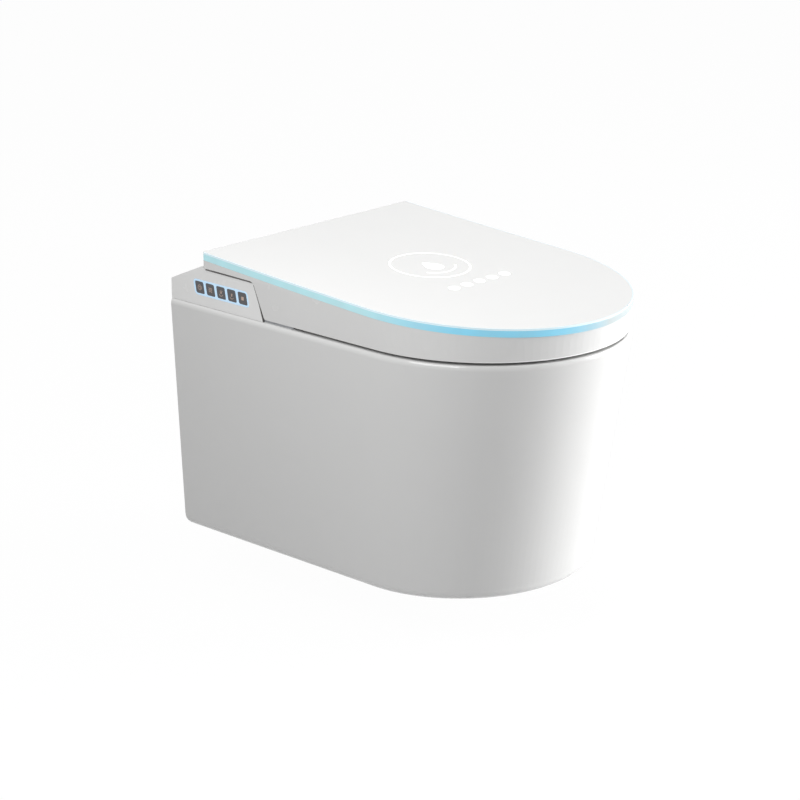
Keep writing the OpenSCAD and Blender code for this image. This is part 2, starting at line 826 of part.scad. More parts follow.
// Lower line of the lid's side, from the skirt's front to the rear end
lid_seam_y = cover_foot_y + 2.5 - (lid_foot_z - plate_z) * tan(cover_lean);
lid_lower = concat(
    [[lid_front + 5, lid_foot_z]],
    [for (p = arc_points(lid_foot_r, 270, 180 + cover_lean, 3))
        [lid_seam_y + lid_foot_r * tan((90 - cover_lean) / 2) + p[0], lid_foot_z + lid_foot_r + p[1]]],
    [for (p = arc_points(cover_round + lid_play, cover_lean, 90, 6))
        [cover_round_y + p[0], cover_round_z + p[1]]],
    [for (p = arc_points(lid_back_r, 270, 180, 4))
        [lid_back + lid_back_r + p[0], lid_under_z + lid_back_r + p[1]]]
);

module lid_notch() {
    knuckle_room = knuckle_r + 0.4;
    both_sides() {
        block(notch_in, notch_out, lid_back - past, hinge_y + knuckle_room, rim_z,
              hinge_z + knuckle_room);
        block(notch_in, notch_out, hinge_y, notch_y, rim_z, hinge_z + 3);
    }
}

module lid_frame() {
    far = lid_front + 5;
    shelf = band_h + shelf_t;
    rib = band_w + led_t + 0.5;
    color("white")
        difference() {
            union() {
                intersection() {
                    lid_shell();
                    across(-lid_half - past, lid_half + past,
                           concat(lid_lower, top_line(lid_back, far, band_h)));
                }
                intersection() {
                    lid_prism(rib);
                    across(-lid_half, lid_half, lid_band(lid_back, far, 0, band_h + 1));
                }
            }
            intersection() {
                skirt_prism(skirt_wall);
                across(-lid_half, lid_half,
                       concat([[far, rim_z], [rail_y, rim_z]], top_line(rail_y, far, shelf)));
            }
            intersection() {
                lid_prism(rib + shelf_t);
                across(-lid_half, lid_half, lid_band(rail_y, far, deck_t, shelf + 1));
            }
            lid_notch();
            both_sides()
                bar_x(boss_x, notch_in + past, hinge_y, hinge_z, bush_r);
            block(-display_half - display_room, display_half + display_room,
                  display_y - display_l / 2 - 2 * display_room,
                  display_y + display_l / 2 + 2 * display_room, lid_foot_z + 20, rim_z + 90);
        }
}

module lid_inner_panel() {
    far = lid_front + 5;
    high = band_h + shelf_t + 0.2;
    color("white")
        difference() {
            intersection() {
                skirt_prism(skirt_wall + seam);
                across(-lid_half, lid_half,
                       lid_band(rail_y + seam, far, high, high + inner_panel_t));
            }
            lid_notch();
        }
}

module lid_ring(inset, depth, high, low) {
    intersection() {
        difference() {
            lid_prism(inset);
            lid_prism(inset + depth);
        }
        across(-lid_half - past, lid_half + past, lid_band(lid_back, lid_front + 5, high, low));
    }
}

module lid_light_guide() {
    color("deepskyblue")
        lid_ring(0, band_w, 0, band_h);
}

module lid_led_strip() {
    color("gold")
        lid_ring(band_w + 0.2, led_t, 1.5, band_h);
}

module lid_top_panel() {
    color("white")
        intersection() {
            lid_prism(0);
            across(-lid_half - past, lid_half + past,
                   lid_band(lid_back, lid_front + 5, -panel_t, 0));
        }
}

module lid_display_board() {
    color("darkgreen")
        translate([0, -display_y, lid_top(display_y) - 0.3])
            rotate([lid_slope(display_y), 0, 0]) {
                translate([-display_half, -display_l / 2, -board_t])
                    cube([2 * display_half, display_l, board_t]);
                translate([-display_half + 20, 12, -board_t - 3.4])
                    cube([2 * display_half - 40, 30, 4]);
            }
}

module lid_bumpers() {
    color("lightgray")
        both_sides()
            for (p = [[0.32 * seat_half, seat_front - 33], [seat_half - 36, pan_straight + 59]])
                bar_z(p[0], p[1], seat_top_z + seam,
                      lid_top(p[1] + lid_bumper_r) - inner_panel_drop, lid_bumper_r);
}

// hinge

module hinge_posts() {
    color("silver")
        both_sides()
            difference() {
                union() {
                    bar_x(eye_in, eye_out, hinge_y, hinge_z, knuckle_r);
                    block(post_x - column_w / 2 - 1, post_x + column_w / 2 - 2,
                          hinge_y - column_t / 2, hinge_y + column_t / 2, plate_z, hinge_z);
                    block(post_x - column_w / 2 - 1, post_x + column_w / 2 - 2,
                          hinge_y - 20, hinge_y + 24, plate_z, plate_z + 4);
                }
                bar_x(eye_in - past, eye_out + past, hinge_y, hinge_z, pin_r + 0.03);
            }
}

module hinge_pins() {
    color("gray")
        both_sides()
            bar_x(boss_x + 1.5, arm_out - 0.5, hinge_y, hinge_z, pin_r);
}

module bush(x0, x1) {
    difference() {
        bar_x(x0, x1, hinge_y, hinge_z, bush_r - 0.03);
        bar_x(x0 - past, x1 + past, hinge_y, hinge_z, pin_r + running);
    }
}

module seat_damper() {
    color("darkslategray")
        mirror([1, 0, 0])
            bush(arm_x, arm_out);
}

module seat_bush() {
    color("ivory")
        bush(arm_x, arm_out);
}

module lid_damper() {
    color("darkslategray")
        bush(boss_x + 0.5, notch_in);
}

module lid_bush() {
    color("ivory")
        mirror([1, 0, 0])
            bush(boss_x + 0.5, notch_in);
}

// nozzles, their guide, racks and pinions

module nozzle_bore(x, r) {
    along_nozzles(x)
        translate([0, -20, 0])
            rotate([-90, 0, 0])
                cylinder(h = nozzle_l + 40, r = r);
}

module nozzle_guide() {
    half = nozzle_pitch / 2;
    outer = half + nozzle_r + 1.2;
    rear = tip_y - guide_back;
    lift = tan(nozzle_tilt);
    top = guide_half / cos(nozzle_tilt);
    color("lightgray")
        difference() {
            across(-outer, outer, [
                [tip_y - 8, plate_z], [tip_y - 8, tip_z + 8 * lift + top],
                [tip_y - rear, tip_z + rear * lift + top], [tip_y - rear, plate_z]
            ]);
            for (s = [-1, 1]) {
                nozzle_bore(s * half, nozzle_r + 0.05);
                along_nozzles(s * half)
                    translate([s > 0 ? 0 : -10, -20, -rack_h / 2 - 0.4])
                        cube([10, nozzle_l + 40, rack_h + 0.8]);
            }
        }
}

// The rack's outline: x across the teeth, y back along the nozzle
module rack_outline() {
    pitch = PI * tooth_module;
    first = 10;
    count = floor((nozzle_l - 2 * first) / pitch);
    flank = tan(20);
    tip = pitch / 4 - tooth_tip * flank - 0.04;
    root = pitch / 4 + tooth_root * flank - 0.04;
    phase = pinion_s - floor((pinion_s - first) / pitch) * pitch;
    polygon(concat(
        [[nozzle_r - 1, first - 2], [rack_y - tooth_root, first - 2]],
        [for (i = [0:count - 1]) let (c = phase + i * pitch) each [
            [rack_y - tooth_root, c - root], [rack_y + tooth_tip, c - tip],
            [rack_y + tooth_tip, c + tip], [rack_y - tooth_root, c + root]]],
        [[rack_y - tooth_root, nozzle_l - 3], [nozzle_r - 1, nozzle_l - 3]]
    ));
}

module nozzle(side) {
    color("silver")
        along_nozzles(side * nozzle_pitch / 2)
            difference() {
                union() {
                    rotate([-90, 0, 0])
                        cylinder(h = nozzle_l, r = nozzle_r);
                    scale([side, 1, 1])
                        translate([0, 0, -rack_h / 2])
                            linear_extrude(rack_h)
                                rack_outline();
                }
                translate([0, 7, -nozzle_r - past])
                    cylinder(h = nozzle_r, r = 0.9);
                translate([0, 12, -nozzle_r - past])
                    cylinder(h = nozzle_r, r = 0.9);
            }
}

module pinion_outline() {
    base = pinion_r * cos(20);
    tip = pinion_r + tooth_tip;
    root = pinion_r - tooth_root;
    play = 1.1;
    radii = [root, base, blend(base, tip, 0.33), blend(base, tip, 0.66), tip];
    polygon([
        for (i = [0:pinion_teeth - 1]) let (c = (i + 0.5) * 360 / pinion_teeth) each concat(
            [for (r = radii) let (a = c - tooth_half(r, base, play)) [r * cos(a), r * sin(a)]],
            [for (r = reversed(radii)) let (a = c + tooth_half(r, base, play))
                [r * cos(a), r * sin(a)]])
    ]);
}

module pinion(side) {
    color("ivory")
        along_nozzles(side * (nozzle_pitch / 2 + rack_y + pinion_r))
            scale([side, 1, 1])
                translate([0, pinion_s, -rack_h / 2])
                    difference() {
                        rotate(180)
                            linear_extrude(rack_h)
                                pinion_outline();
                        translate([0, 0, -past])
                            cylinder(h = rack_h + 2 * past, r = shaft_r + running);
                    }
}

module nozzle_motors() {
    color("gray")
        for (side = [-1, 1])
            along_nozzles(side * (nozzle_pitch / 2 + rack_y + pinion_r))
                translate([0, pinion_s, 0]) {
                    translate([0, 0, guide_half + seam])
                        cylinder(h = motor_h, r = motor_r);
                    translate([0, 0, -rack_h / 2])
                        cylinder(h = rack_h / 2 + guide_half + seam + past, r = shaft_r);
                }
}

// dryer

// Outline of a scroll round a fan: its radius grows once round, then a duct leads to the front
function scroll_outline(r0, rise) = [
    for (i = [0:24]) let (a = 360 * i / 24, r = r0 + rise * i / 24) [r * cos(a), r * sin(a)]
];

module dryer_scroll(grow, extra) {
    r0 = fan_r + scroll_gap + grow;
    duct_l = cover_top_y + 8 + extra - fan_y;
    polygon(scroll_outline(r0, scroll_rise));
    translate([r0 + scroll_rise - outlet_w - 2 * grow, -duct_l])
        square([outlet_w + 2 * grow, duct_l]);
}

module dryer_casing() {
    color("dimgray")
        difference() {
            union() {
                difference() {
                    translate([fan_x, -fan_y, casing_z])
                        linear_extrude(casing_h)
                            dryer_scroll(scroll_wall, 0);
                    across(outlet_x - 5, outlet_x + outlet_w + 5, [
                        [cover_foot_y - duct_recess, plate_z], [cover_foot_y + 9, plate_z],
                        [cover_foot_y + 9, cover_front_z], [cover_top_y - duct_recess, cover_front_z]
                    ]);
                }
                for (p = [[-17, 19], [17, 19], [0, -27]])
                    bar_z(fan_x + p[0], fan_y + p[1], plate_z, casing_z + 1, 4);
                for (x = [outlet_x - ear_out, outlet_x + outlet_w + scroll_wall]) {
                    bar_x(x, x + ear_out - scroll_wall, flap_y, flap_z, ear_r);
                    block(x, x + ear_out - scroll_wall, flap_y - 16, flap_y, flap_z - ear_r,
                          flap_z + ear_r);
                }
            }
            translate([fan_x, -fan_y, casing_z + scroll_wall])
                linear_extrude(casing_h - 2 * scroll_wall)
                    dryer_scroll(0, past);
            bar_z(fan_x, fan_y, casing_z + casing_h - scroll_wall - past, casing_z + casing_h + past, 8);
            bar_z(fan_x, fan_y, casing_z - past, casing_z + scroll_wall + past, fan_r * 0.6);
            bar_x(outlet_x - 5, outlet_x + outlet_w + 5, flap_y, flap_z, flap_pin_r + running);
        }
}

// A drum fan: a disc on top with a hub, and curved blades below it
module impeller(r, h, blades, bore) {
    lean = 28;
    inner = r * 0.78;
    outer = r - 0.4;
    blade_t = 0.85;
    difference() {
        union() {
            translate([0, 0, h - 1.5])
                cylinder(h = 1.5, r = r);
            translate([0, 0, h / 2])
                cylinder(h = h / 2, r = r * 0.25);
            for (i = [0:blades - 1])
                rotate(360 * i / blades)
                    linear_extrude(h - 1)
                        polygon(concat(
                            [for (k = [0:3]) let (q = blend(inner, outer, k / 3))
                                [q * cos(lean * k * k / 90), q * sin(lean * k * k / 90)]],
                            [for (k = [3:-1:0]) let (q = blend(inner, outer, k / 3),
                                a = lean * k * k / 90 + 180 / PI * blade_t / q)
                                [q * cos(a), q * sin(a)]]));
        }
        translate([0, 0, -past])
            cylinder(h = h + 2 * past, r = bore);
    }
}

module dryer_impeller() {
    color("black")
        translate([fan_x, -fan_y, casing_z + scroll_wall + 1])
            impeller(fan_r, fan_h, fan_blades, shaft_r + running);
}

module fan_motor(x, y, z, shaft_l) {
    translate([x, -y, z]) {
        cylinder(h = motor_h, r = fan_motor_r);
        translate([0, 0, -shaft_l])
            cylinder(h = shaft_l + past, r = shaft_r);
    }
}

module dryer_motor() {
    color("silver")
        fan_motor(fan_x, fan_y, casing_z + casing_h + seam, fan_h);
}

module dryer_heater() {
    z0 = casing_z + scroll_wall + seam;
    h = casing_h - 2 * scroll_wall - 2 * seam;
    color("peru") {
        block(outlet_x + 0.4, outlet_x + 2.4, 136, 158, z0, z0 + h);
        block(outlet_x + outlet_w - 2.4, outlet_x + outlet_w - 0.4, 136, 158, z0, z0 + h);
        for (i = [0:4])
            block(outlet_x + 1, outlet_x + outlet_w - 1, 137, 157, z0 + 2 + i * (h - 4.8) / 4,
                  z0 + 2.8 + i * (h - 4.8) / 4);
    }
}

flap_z = casing_z + casing_h - 3;
flap_y = cover_foot_y - (flap_z - plate_z) * tan(cover_lean) - flap_recess;
flap_t = 2;
flap_pin_r = 1.5;
flap_h = casing_h - 7;
flap_pin_l = outlet_w + 2 * ear_out - 0.4;

module dryer_flap() {
    color("white")
        translate([0, -flap_y, flap_z])
            rotate([-cover_lean, 0, 0]) {
                translate([outlet_x - 1.5, -flap_t / 2, -flap_h])
                    cube([outlet_w + 3, flap_t, flap_h]);
                translate([outlet_x - ear_out + 0.2, 0, 0])
                    rotate([0, 90, 0])
                        cylinder(h = flap_pin_l, r = flap_pin_r);
            }
}

// deodoriser

module deodoriser_casing() {
    r = filter_fan_r + 3;
    neck = filter_half - 1;
    color("dimgray")
        difference() {
            union() {
                bar_z(filter_fan_x, filter_fan_y, casing_z, casing_z + filter_h, r + scroll_wall);
                block(filter_fan_x - neck, filter_fan_x + neck, filter_fan_y, filter_y, casing_z,
                      casing_z + filter_h);
                block(filter_fan_x - filter_fan_r + 1, filter_fan_x + filter_fan_r - 1,
                      filter_fan_y - filter_fan_r - 1, filter_fan_y - 2, plate_z, casing_z + 1);
            }
            bar_z(filter_fan_x, filter_fan_y, casing_z + scroll_wall, casing_z + filter_h - scroll_wall,
                  r);
            block(filter_fan_x - neck + scroll_wall, filter_fan_x + neck - scroll_wall, filter_fan_y,
                  filter_y + past, casing_z + scroll_wall, casing_z + filter_h - scroll_wall);
            bar_z(filter_fan_x, filter_fan_y, casing_z + filter_h / 2, casing_z + filter_h + past, 6);
        }
}

module deodoriser_impeller() {
    color("black")
        translate([filter_fan_x, -filter_fan_y, casing_z + 3])
            impeller(filter_fan_r, filter_h - 7, 15, shaft_r + running);
}

module deodoriser_motor() {
    color("silver")
        fan_motor(filter_fan_x, filter_fan_y, casing_z + filter_h + seam, filter_h - 8);
}

module carbon_filter() {
    color("black")
        difference() {
            block(filter_fan_x - filter_half, filter_fan_x + filter_half, filter_y + seam,
                  filter_y + filter_l, plate_z, casing_z + filter_h);
            for (i = [0:filter_slots - 1]) let (x = filter_fan_x - 14 + 6 * i)
                block(x, x + 4, filter_y - past, filter_y + filter_l + past, casing_z + scroll_wall,
                      casing_z + filter_h - scroll_wall - 1);
        }
}

// water path

nipple_x = pan_half - 29;
nipple_z = rim_z + 14;
nipple_r = 8.33;
nipple_bore = 5;
valve_half = 12;
valve_back = 20; // Distances of the solenoid valve's ends from the wall
valve_front = 58;
valve_h = 10; // Half height of the solenoid valve
coil_h = 16;
cold_port = [nipple_x - valve_half - 10, 32];
warm_port = [post_x + 24, 110];
port_z = rim_z + 2;
port_r = 6;
hose_r = 4.5;
valve_y = guide_back - 22.7; // Distributor: middle, half width and half depth
spread_half = 13;
spread_depth = 9;
spread_h = 32;
spout_l = 7;
hose_far = hinge_y - 24; // Where the warm hose passes in front of the solenoid valve

module inlet_nipple() {
    color("goldenrod")
        difference() {
            union() {
                bar_y(nipple_x, 0.5, 16, nipple_z, nipple_r);
                translate([nipple_x, -15, nipple_z])
                    rotate([90, 0, 0])
                        cylinder(h = 5, r = nipple_r + 2.2, $fn = 6);
            }
            bar_y(nipple_x, 0, 21, nipple_z, nipple_bore);
        }
}

module solenoid_valve() {
    color("gray")
        difference() {
            union() {
                block(nipple_x - valve_half, nipple_x + valve_half, valve_back, valve_front,
                      nipple_z - valve_h, nipple_z + valve_h);
                bar_z(nipple_x, valve_front - 14, nipple_z, nipple_z + coil_h, valve_h);
                block(nipple_x - valve_half, nipple_x + valve_half, valve_back + 4, valve_front - 4,
                      plate_z, nipple_z);
            }
            bar_y(nipple_x, valve_back - past, valve_front - valve_h, nipple_z, nipple_bore);
        }
}

module heater_tank() {
    z0 = rim_z - pocket_depth + seam;
    color("lightsteelblue")
        union() {
            block(pocket_in + 2, pocket_out - 2, pocket_back + 2, pocket_front - 2, z0, rim_z - 4);
            for (p = [cold_port, warm_port])
                bar_z(p[0], p[1], rim_z - 5, port_z, port_r);
        }
}

module distributor_valve() {
    color("gray")
        union() {
            block(-spread_half, spread_half, valve_y - spread_depth, valve_y + spread_depth, plate_z,
                  rim_z + spread_h);
            bar_x(spread_half - past, spread_half + spout_l, valve_y, board_z, hose_r + 0.5);
        }
}

module cold_hose() {
    start = nipple_x - valve_half - seam;
    bend = start - 2 - cold_port[0];
    color("dodgerblue")
        tube_path(concat(
            [[start, -cold_port[1], nipple_z]],
            [for (a = [0:18:90]) [cold_port[0] + bend * (1 - sin(a)), -cold_port[1],
                                  nipple_z - bend * (1 - cos(a))]],
            [[cold_port[0], -cold_port[1], port_z + seam]]), hose_r);
}

module warm_hose() {
    level = board_z - 2;
    color("tomato")
        tube_path([[spread_half + spout_l + seam, -valve_y, board_z],
                   [(spread_half + warm_port[0]) / 2, -valve_y, board_z],
                   [warm_port[0] - 20, -valve_y - hose_r, level],
                   [warm_port[0] - 8, -hose_far, level],
                   [warm_port[0], -hinge_y, level],
                   [warm_port[0], -warm_port[1] + 10, level - 1],
                   [warm_port[0], -warm_port[1], port_z + 6],
                   [warm_port[0], -warm_port[1], port_z + seam]], hose_r);
}

// electronics

module control_board() {
    z = board_z + 1;
    color("darkgreen") {
        block(-board_out, -board_in, board_back, board_front, board_z, board_z + board_t);
        for (x = [-board_out + leg_r + 1, -board_in - leg_r - 1])
            for (y = [board_back + leg_r + 1, board_front - leg_r - 1])
                bar_z(x, y, plate_z, z, leg_r);
        block(-board_out + 12, -board_in - 12, board_back + 24, board_back + 48, z, z + 5);
        block(-board_out + 6, -board_in - 22, board_front - 50, board_front - 20, z, z + 10);
        for (i = [0:3])
            bar_z(-board_in - 8, board_back + 34 + 14 * i, z, z + 11, 5);
    }
}

module power_supply() {
    z0 = rim_z - pocket_depth + seam;
    color("silver")
        difference() {
            block(-pocket_out + 2, -pocket_in - 2, pocket_back + 2, pocket_front - 2, z0, rim_z - 4);
            for (i = [0:9])
                block(-pocket_out + 16, -pocket_in - 16, pocket_back + 12 + i * 10.5,
                      pocket_back + 16 + i * 10.5, rim_z - 6, rim_z);
        }
}

gland_x = 31 - pan_half;
gland_r = 8;

module cable_gland() {
    color("black")
        difference() {
            union() {
                bar_y(gland_x, 0.5, 16, nipple_z, gland_r);
                bar_y(gland_x, cover_wall + 0.1, 6, nipple_z, gland_r + 2.5);
            }
            bar_y(gland_x, 0, 17, nipple_z, 4);
        }
}

ceramic_pan();
fixing_sleeves();
chassis();
chassis_bolts();
chassis_plugs();
housing_cover();
button_frame();
button_cap(2);  // stop_button
button_cap(1);  // rear_wash_button
button_cap(0);  // front_wash_button
button_cap(-1);  // dryer_button
button_cap(-2);  // flush_button
button_board();
seat_top();
seat_base();
seat_heater();
seat_bumpers();
lid_frame();
lid_inner_panel();
lid_light_guide();
lid_led_strip();
lid_top_panel();
lid_display_board();
lid_bumpers();
hinge_posts();
hinge_pins();
seat_damper();
seat_bush();
lid_damper();
lid_bush();
nozzle_guide();
nozzle(-1);  // rear_nozzle
nozzle(1);  // front_nozzle
pinion(-1);  // rear_pinion
pinion(1);  // front_pinion
nozzle_motors();
dryer_casing();
dryer_impeller();
dryer_motor();
dryer_heater();
dryer_flap();
deodoriser_casing();
deodoriser_impeller();
deodoriser_motor();
carbon_filter();
heater_tank();
inlet_nipple();
solenoid_valve();
distributor_valve();
cold_hose();
warm_hose();
control_board();
power_supply();
cable_gland();
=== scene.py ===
"""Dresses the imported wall-hung smart toilet for its studio picture."""

import json
import math

import bmesh
import bpy
from mathutils import Matrix, Vector


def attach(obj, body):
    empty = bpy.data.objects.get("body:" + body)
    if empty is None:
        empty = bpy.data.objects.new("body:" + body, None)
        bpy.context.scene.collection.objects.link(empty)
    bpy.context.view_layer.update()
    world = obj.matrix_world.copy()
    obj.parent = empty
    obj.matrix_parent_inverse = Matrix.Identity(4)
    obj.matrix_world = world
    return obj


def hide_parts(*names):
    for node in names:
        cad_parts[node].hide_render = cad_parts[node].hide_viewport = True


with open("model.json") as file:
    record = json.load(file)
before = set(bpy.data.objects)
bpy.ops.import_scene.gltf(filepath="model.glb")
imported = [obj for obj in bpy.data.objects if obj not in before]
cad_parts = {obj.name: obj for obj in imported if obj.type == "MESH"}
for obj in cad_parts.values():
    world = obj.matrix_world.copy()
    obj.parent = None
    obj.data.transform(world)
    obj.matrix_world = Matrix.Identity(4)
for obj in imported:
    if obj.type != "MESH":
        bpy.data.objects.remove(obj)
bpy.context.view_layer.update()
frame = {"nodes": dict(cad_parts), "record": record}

MM = 0.001

# Places and sizes in millimetres, in the CAD's frame: the wall is at y = 0 and
# the object at y < 0.
FOOT_Z = -249
REAR_ROUND = 16
PAN_HALF = 195
PAN_STRAIGHT = 381
PAN_FRONT = 586
RIM_Z = 80
RIM_ROUND = 4
COVER_HALF = 193
COVER_CORNER_Y = 157.6
COVER_CORNER_Z = 125
COVER_ROUND = 6
COVER_LEAN = 17.5
COVER_FALL = 0.0117
# The next six sizes place the shade painted as a dark stripe into the seam under the lid's
# edge.
SEAM_SHADE_WIDTH = 1.4
SEAM_SHADE_REACH = 6
SEAM_SHADE_TURN = 5.4
SEAM_SHADE_FRONT_WIDTH = 0.9
SEAM_SHADE_FRONT_Z = 95
SEAM_SHADE_WIDENING = 0.08
LID_BACK = 67
LID_HALF = 198
LID_STRAIGHT = 362
LID_FRONT = 590
LID_FOOT_Z = 84
# Height of the highlight painted along the lid's lower edge.
LID_HIGHLIGHT_BAND = 1.4
LID_FRONT_H = 39.4
LID_RISE = 28
LID_CURVE = 8
PANEL_T = 2.4
RING_Y = 296
RING_R = 55
RING_LINE = 3
RING_ARC_R = 34
RING_DROP_R = 13
RING_DROP_SHIFT = 8
DOTS_Y = 383.7
DOTS_PITCH = 24.7
DOT_R = 8.2
MARK_T = 0.3
MARK_SUNK = 0.22
BUTTON_Y = 97.5
BUTTON_Z = 105
BUTTON_PITCH = 20.6
CAP_X = -193
SIGN_LINE = 0.85
SIGN_T = 0.16
SIGN_PROUD = 0.06
SIGN_SCALE = 0.8

# The studio, in metres and degrees.
FLOOR_Z = -0.320
FLOOR_SIZE = 30
FLOOR_GLOW = 1.03
FLOOR_GLOW_SHARE = 0.94
AMBIENT = 0.322
MIDDLE = (0, -0.3, -0.05)
CAMERA_PLACE = (-2.494, -2.574, 1.038)
CAMERA_AZIMUTH = -46.92
CAMERA_ELEVATION = 17.79
CAMERA_LENS = 118.70
CAMERA_SENSOR = 36


def linear(red, green, blue):
    """A colour written as it is seen, turned into the shader's numbers."""
    return tuple((c / 255 / 12.92) if c <= 10 else ((c / 255 + 0.055) / 1.055) ** 2.4
                 for c in (red, green, blue)) + (1.0,)


# Shaders


class Value:
    """A number in a shader that Python's operators work on."""

    def __init__(self, tree, socket):
        self.tree = tree
        self.socket = socket

    def joined(self, operation, other=None):
        node = self.tree.nodes.new("ShaderNodeMath")
        node.operation = operation
        for place, item in zip(node.inputs, (self, other)):
            if isinstance(item, Value):
                self.tree.links.new(item.socket, place)
            elif item is not None:
                place.default_value = item
        return Value(self.tree, node.outputs[0])

    def __add__(self, other):
        return self.joined("ADD", other)

    def __sub__(self, other):
        return self.joined("SUBTRACT", other)

    def __mul__(self, other):
        return self.joined("MULTIPLY", other)

    def __gt__(self, other):
        return self.joined("GREATER_THAN", other)

    def __lt__(self, other):
        return self.joined("LESS_THAN", other)

    def __abs__(self):
        return self.joined("ABSOLUTE")

    def wave(self):
        return self.joined("SINE")

    def repeated(self, step):
        return self.joined("PINGPONG", step)

    def ramp(self, start, end):
        """0 up to the start, 1 from the end on, and straight in between."""
        risen = (self - start) * (1 / (end - start))
        return risen.joined("MINIMUM", 1.0).joined("MAXIMUM", 0.0)


class Finish:
    """A material that is being made for one finish of the object."""

    def __init__(self, name, colour, roughness, **fixed):
        self.material = bpy.data.materials.new(name)
        self.material.use_nodes = True
        self.tree = self.material.node_tree
        self.shader = self.tree.nodes["Principled BSDF"]
        self.set("Base Color", colour)
        self.set("Roughness", roughness)
        for socket, value in fixed.items():
            self.set(socket.replace("_", " "), value)
        self.place = self.node("TexCoord").outputs["Object"]

    def link(self, socket, value):
        if isinstance(value, Value):
            value = value.socket
        if isinstance(value, bpy.types.NodeSocket):
            self.tree.links.new(value, socket)
        else:
            socket.default_value = value

    def set(self, socket, value):
        self.link(self.shader.inputs[socket], value)

    def node(self, kind, settings=None, sockets=None):
        node = self.tree.nodes.new("ShaderNode" + kind)
        for key, value in (settings or {}).items():
            setattr(node, key, value)
        for key, value in (sockets or {}).items():
            self.link(node.inputs[key], value)
        return node

    def scaled(self, x, y, z):
        return self.node("Mapping", {"vector_type": "POINT"},
                         {"Vector": self.place, "Scale": (x, y, z)}).outputs["Vector"]

    def noise(self, scale, detail=3.0, place=None):
        made = self.node("TexNoise", {"noise_dimensions": "3D"},
                         {"Vector": place or self.place, "Scale": scale, "Detail": detail})
        return Value(self.tree, made.outputs["Fac"])

    def cells(self, scale):
        made = self.node("TexVoronoi", {"feature": "F1"},
                         {"Vector": self.place, "Scale": scale})
        return Value(self.tree, made.outputs["Distance"])

    def axes(self):
        split = self.node("SeparateXYZ", None, {"Vector": self.place})
        return [Value(self.tree, split.outputs[k]) for k in "XYZ"]

    def blended(self, mask, first, second):
        made = self.node("Mix", {"data_type": "RGBA"}, {0: mask, 6: first, 7: second})
        return made.outputs[2]

    def bump(self, height, strength, depth):
        made = self.node("Bump", None,
                         {"Height": height, "Strength": strength, "Distance": depth})
        self.set("Normal", made.outputs["Normal"])
        return self


def toned(colour, amount):
    return tuple(c * amount for c in colour[:3]) + (1.0,)


def drifting(made, colour):
    """The colour with a faint drift of tone."""
    return made.blended(made.noise(7), toned(colour, 0.965), toned(colour, 1.02))


def moulded(name, colour, roughness, grain=2600, depth=0.00002, **fixed):
    """Injection-moulded plastic: a fine grain and a faint drift of tone and gloss."""
    made = Finish(name, colour, roughness, **fixed)
    made.set("Base Color", drifting(made, colour))
    made.set("Roughness", made.noise(22) * 0.08 + (roughness - 0.04))
    return made.bump(made.noise(grain, 2.0), 0.5, depth)


def shell(name, colour):
    """The softly glossy plastic of the unit, the seat and the lid."""
    return moulded(name, colour, 0.26, 900, 0.000008, Coat_Weight=0.2, Coat_Roughness=0.1)


def glazed(name, colour):
    """Fired glaze: glossy, with shallow waves and tiny pinholes, and a highlight painted
    along the front of its upper edge.
    """
    made = Finish(name, colour, 0.1, Coat_Weight=0.35, Coat_Roughness=0.05, IOR=1.52)
    _, y, z = made.axes()
    # Painted highlight: the upper edge is made paler towards the front, standing in for the
    # light that its rounding catches.
    edge = z.ramp(0.0715, 0.07775) * y.ramp(-0.5682, -0.1136) * 0.8
    body = made.blended(made.noise(4, 4.0), toned(colour, 0.97), colour)
    made.set("Base Color", made.blended(edge, body, toned(colour, 1.25)))
    pinholes = made.cells(46) < 0.012
    made.set("Roughness", made.noise(14) * 0.07 + 0.09 + pinholes * 0.2)
    return made.bump(made.noise(75, 2.0) - pinholes * 0.4, 0.12, 0.00035)


def brushed(name, colour, stretch, roughness=0.3):
    """Metal brushed along the axis whose stretch is smallest."""
    made = Finish(name, colour, roughness, Metallic=1.0)
    lines = made.noise(1.0, 4.0, made.scaled(*stretch))
    made.set("Base Color", made.blended(lines, toned(colour, 0.86), toned(colour, 1.06)))
    made.set("Roughness", lines * 0.22 + (roughness - 0.1))
    return made.bump(lines, 0.25, 0.00003)


def rubbery(name, colour):
    made = Finish(name, colour, 0.7, Sheen_Weight=0.15)
    made.set("Base Color",
             made.blended(made.noise(60), toned(colour, 0.85), toned(colour, 1.1)))
    return made.bump(made.noise(1800), 0.6, 0.00004)


def lit(name, rear, front, edge, strength):
    """A light guide: paler at the rear and at its right, strongest at the front left."""
    made = Finish(name, front, 0.28, Emission_Strength=strength)
    x, y, _ = made.axes()
    aside = x.ramp(-0.06, 0.0233)
    along = made.blended(y.ramp(-0.3625, -0.4875), rear, front)
    spots = made.noise(30, 1.0) * 0.3
    made.set("Base Color", made.blended(aside + spots, along, edge))
    made.set("Emission Color", made.blended(aside + spots, along, toned(edge, 0.1)))
    return made


def lid_shell(name, colour):
    """The lid's frame, with a highlight painted along its lower edge at the front, where that
    edge catches the light.
    """
    made = shell(name, colour)
    _, y, z = made.axes()
    # Painted highlight: a near-white band along the skirt's lower edge at the front.
    edge_highlight = (z < (LID_FOOT_Z + LID_HIGHLIGHT_BAND) * MM) * y.ramp(-0.4833, -0.5667)
    made.set("Base Color", made.blended(edge_highlight, drifting(made, colour), linear(252, 252, 252)))
    return made


def edge_of_lid(made, outer, inner):
    """1 within the last millimetres before the lid's outline, 0 further in."""
    x, y, _ = made.axes()
    aside = x * (1 / (LID_HALF * MM))
    forward = (y * -1 - LID_STRAIGHT * MM) * (1 / ((LID_FRONT - LID_STRAIGHT) * MM))
    forward = forward.joined("MAXIMUM", 0.0)
    start, end = ((1 - margin / LID_HALF) ** 2 for margin in (inner, outer))
    return (aside * aside + forward * forward).ramp(start, end)


